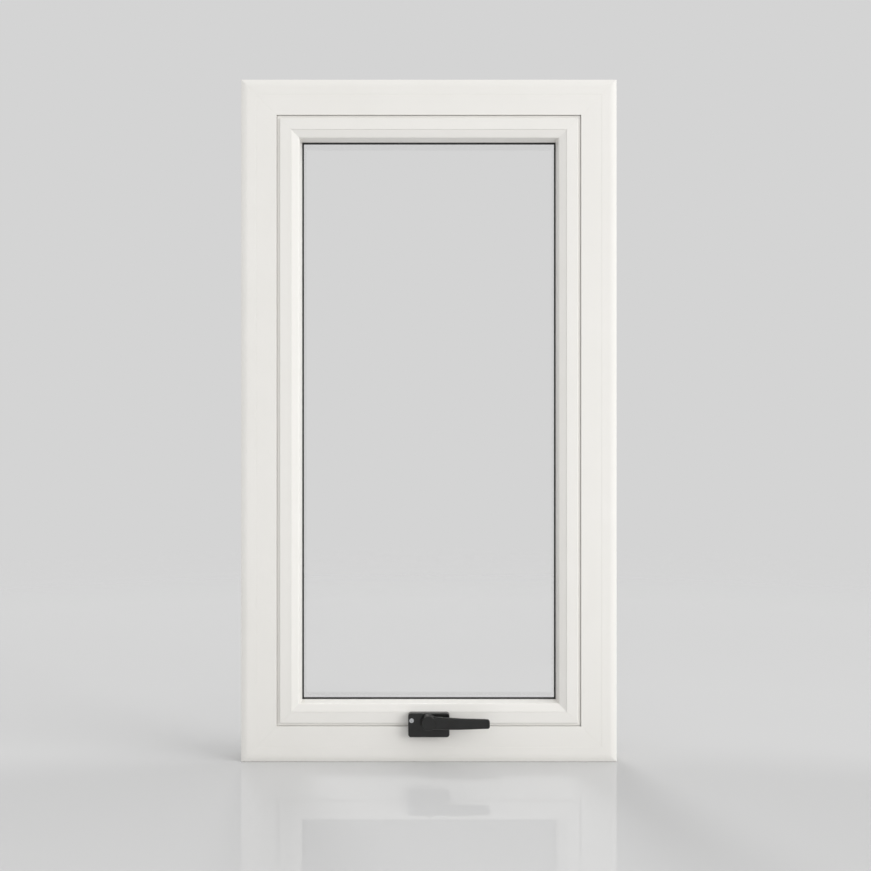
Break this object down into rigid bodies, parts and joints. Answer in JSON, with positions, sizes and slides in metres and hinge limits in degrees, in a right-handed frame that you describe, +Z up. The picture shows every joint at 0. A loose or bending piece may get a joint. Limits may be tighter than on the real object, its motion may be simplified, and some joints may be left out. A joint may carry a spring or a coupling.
{
  "type": "top-hung window",
  "caption": "White top-hung window: mitred frame and sash in hollow profiles, double glazing with bevelled beads, and a black lever latch at the sill.",
  "frame": {"origin": "middle of the sill's underside, halfway through the frame's depth", "axes": "+X along the width, to the right seen from the room; +Y from the room to outdoors; +Z up"},
  "size_m": [0.6, 0.1035, 1.09],
  "materials": {
    "white_pvc": "satin",
    "clear_glass": "polished",
    "black_rubber": "matte",
    "grey_spacer": "satin",
    "grey_plastic": "matte",
    "black_paint": "satin",
    "bright_metal": "polished",
    "steel": "satin"
  },
  "bodies": {
    "window": {"frame_left": "white_pvc", "frame_right": "white_pvc", "frame_top": "white_pvc", "frame_bottom": "white_pvc", "sash_left": "white_pvc", "sash_right": "white_pvc", "sash_top": "white_pvc", "sash_bottom": "white_pvc", "bead_left": "white_pvc", "bead_right": "white_pvc", "bead_top": "white_pvc", "bead_bottom": "white_pvc", "inner_pane": "clear_glass", "outer_pane": "clear_glass", "spacer_bar": "grey_spacer", "edge_sealant": "black_rubber", "inner_glazing_gasket": "black_rubber", "outer_glazing_gasket": "black_rubber", "inner_weather_seal": "black_rubber", "outer_weather_seal": "black_rubber", "setting_block_left": "grey_plastic", "setting_block_right": "grey_plastic", "stay_track_left": "steel", "stay_shoe_left": "steel", "stay_arm_left": "steel", "stay_bar_left": "steel", "stay_track_right": "steel", "stay_shoe_right": "steel", "stay_arm_right": "steel", "stay_bar_right": "steel", "drain_cap_left": "white_pvc", "drain_cap_right": "white_pvc", "latch_base": "black_paint", "lock_barrel": "bright_metal", "sash_keeper": "steel"},
    "lever": {"latch_lever": "black_paint", "latch_cam": "steel"}
  },
  "joints": [
    {"name": "latch_turn", "type": "hinge", "parent": "window", "child": "lever", "pos_m": [0, -0.05, 0.0675], "axis": [0, -1, 0], "range_deg": [0, 90]}
  ]
}
